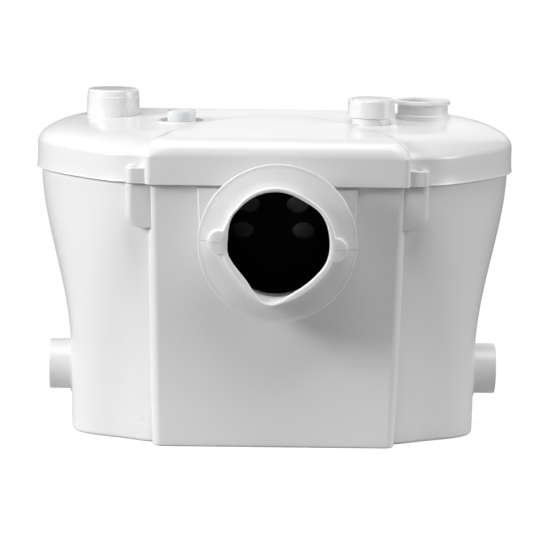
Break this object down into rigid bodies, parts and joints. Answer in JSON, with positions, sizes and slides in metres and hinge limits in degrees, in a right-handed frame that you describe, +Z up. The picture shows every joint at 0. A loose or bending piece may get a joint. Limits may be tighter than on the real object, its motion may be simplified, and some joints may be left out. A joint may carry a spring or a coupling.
{
  "type": "sewage lifting unit",
  "caption": "Floor-standing macerator pump for a toilet: white moulded tank, domed lid, soft front sleeve, side inlets, push button and top outlet.",
  "frame": {"origin": "on the floor, at the middle of the tank's flat underside", "axes": "+Z up, -Y towards the WC inlet at the front, +X to the right seen from the front"},
  "size_m": [0.4028, 0.229, 0.281],
  "materials": {
    "white_shell": "satin",
    "white_cap": "satin",
    "soft_sleeve": "satin",
    "black_plastic": "matte",
    "grey_plastic": "matte",
    "clear_button": "clear, gloss",
    "black_rubber": "matte",
    "steel": "satin",
    "zinc_steel": "satin",
    "cast_alloy": "matte",
    "copper_wire": "satin",
    "charcoal": "matte"
  },
  "bodies": {
    "housing": {"tank": "white_shell", "wc_sleeve": "soft_sleeve", "sleeve_clamp": "steel", "lid_gasket": "black_rubber", "base_pads": "black_rubber", "basket": "black_plastic", "deck": "grey_plastic", "deck_screws": "zinc_steel", "motor_can": "cast_alloy", "motor_cap": "cast_alloy", "motor_screws": "zinc_steel", "stator": "steel", "windings": "copper_wire", "upper_bearing": "steel", "lower_bearing": "steel", "shaft_seal": "black_rubber", "pump_housing": "black_plastic", "pump_cover": "black_plastic", "tie_bolts": "zinc_steel", "discharge_hose": "black_rubber", "hose_clips": "steel", "check_valve": "grey_plastic", "outlet_seal": "black_rubber", "left_flap_seat": "grey_plastic", "right_flap_seat": "grey_plastic", "pressure_tube": "grey_plastic", "diaphragm": "black_rubber", "switch_cover": "grey_plastic", "microswitch": "black_plastic", "capacitor": "grey_plastic", "terminal_block": "grey_plastic", "cable_gland": "grey_plastic", "gland_nut": "grey_plastic"},
    "rotor": {"rotor": "steel", "shaft": "steel", "cutter_blade": "steel", "cutter_nut": "zinc_steel", "impeller": "grey_plastic", "impeller_nut": "zinc_steel"},
    "lid": {"lid": "white_shell", "lid_screws": "zinc_steel", "vent_filter": "charcoal", "button_spring": "steel", "button_switch": "black_plastic"},
    "vent_cap": {"vent_cap": "white_cap", "vent_seal": "black_rubber"},
    "inlet_cap": {"inlet_cap": "white_cap", "inlet_cap_seal": "black_rubber"},
    "button": {"button_cap": "clear_button", "button_plunger": "grey_plastic"},
    "left_flap": {"left_flap": "black_rubber"},
    "right_flap": {"right_flap": "black_rubber"},
    "check_flap": {"check_flap": "black_rubber"},
    "level_pusher": {"switch_pusher": "grey_plastic"}
  },
  "joints": [
    {"name": "rotor_spin", "type": "hinge", "parent": "housing", "child": "rotor", "pos_m": [0, 0.024, 0.12], "axis": [0, 0, 1], "continuous": true},
    {"name": "lid_lift", "type": "slide", "parent": "housing", "child": "lid", "axis": [0, 0, 1], "range_m": [0, 0.08]},
    {"name": "vent_cap_lift", "type": "slide", "parent": "lid", "child": "vent_cap", "axis": [0, 0, 1], "range_m": [0, 0.03]},
    {"name": "inlet_cap_lift", "type": "slide", "parent": "lid", "child": "inlet_cap", "axis": [0, 0, 1], "range_m": [0, 0.02]},
    {"name": "button_press", "type": "slide", "parent": "lid", "child": "button", "axis": [0, 0, -1], "range_m": [0, 0.003], "stiffness_N_per_m": 400, "springref_m": -0.005, "deforming": ["button_spring"]},
    {"name": "left_flap_swing", "type": "hinge", "parent": "housing", "child": "left_flap", "pos_m": [-0.1456, 0.004, 0.07], "axis": [0, -1, 0], "range_deg": [0, 70]},
    {"name": "right_flap_swing", "type": "hinge", "parent": "housing", "child": "right_flap", "pos_m": [0.1456, 0.004, 0.07], "axis": [0, 1, 0], "range_deg": [0, 70]},
    {"name": "check_flap_swing", "type": "hinge", "parent": "housing", "child": "check_flap", "pos_m": [0.1129, 0.05, 0.198], "axis": [0, -1, 0], "range_deg": [0, 65]},
    {"name": "level_pusher_slide", "type": "slide", "parent": "housing", "child": "level_pusher", "axis": [0, 0, 1], "range_m": [0, 0.0015]}
  ]
}
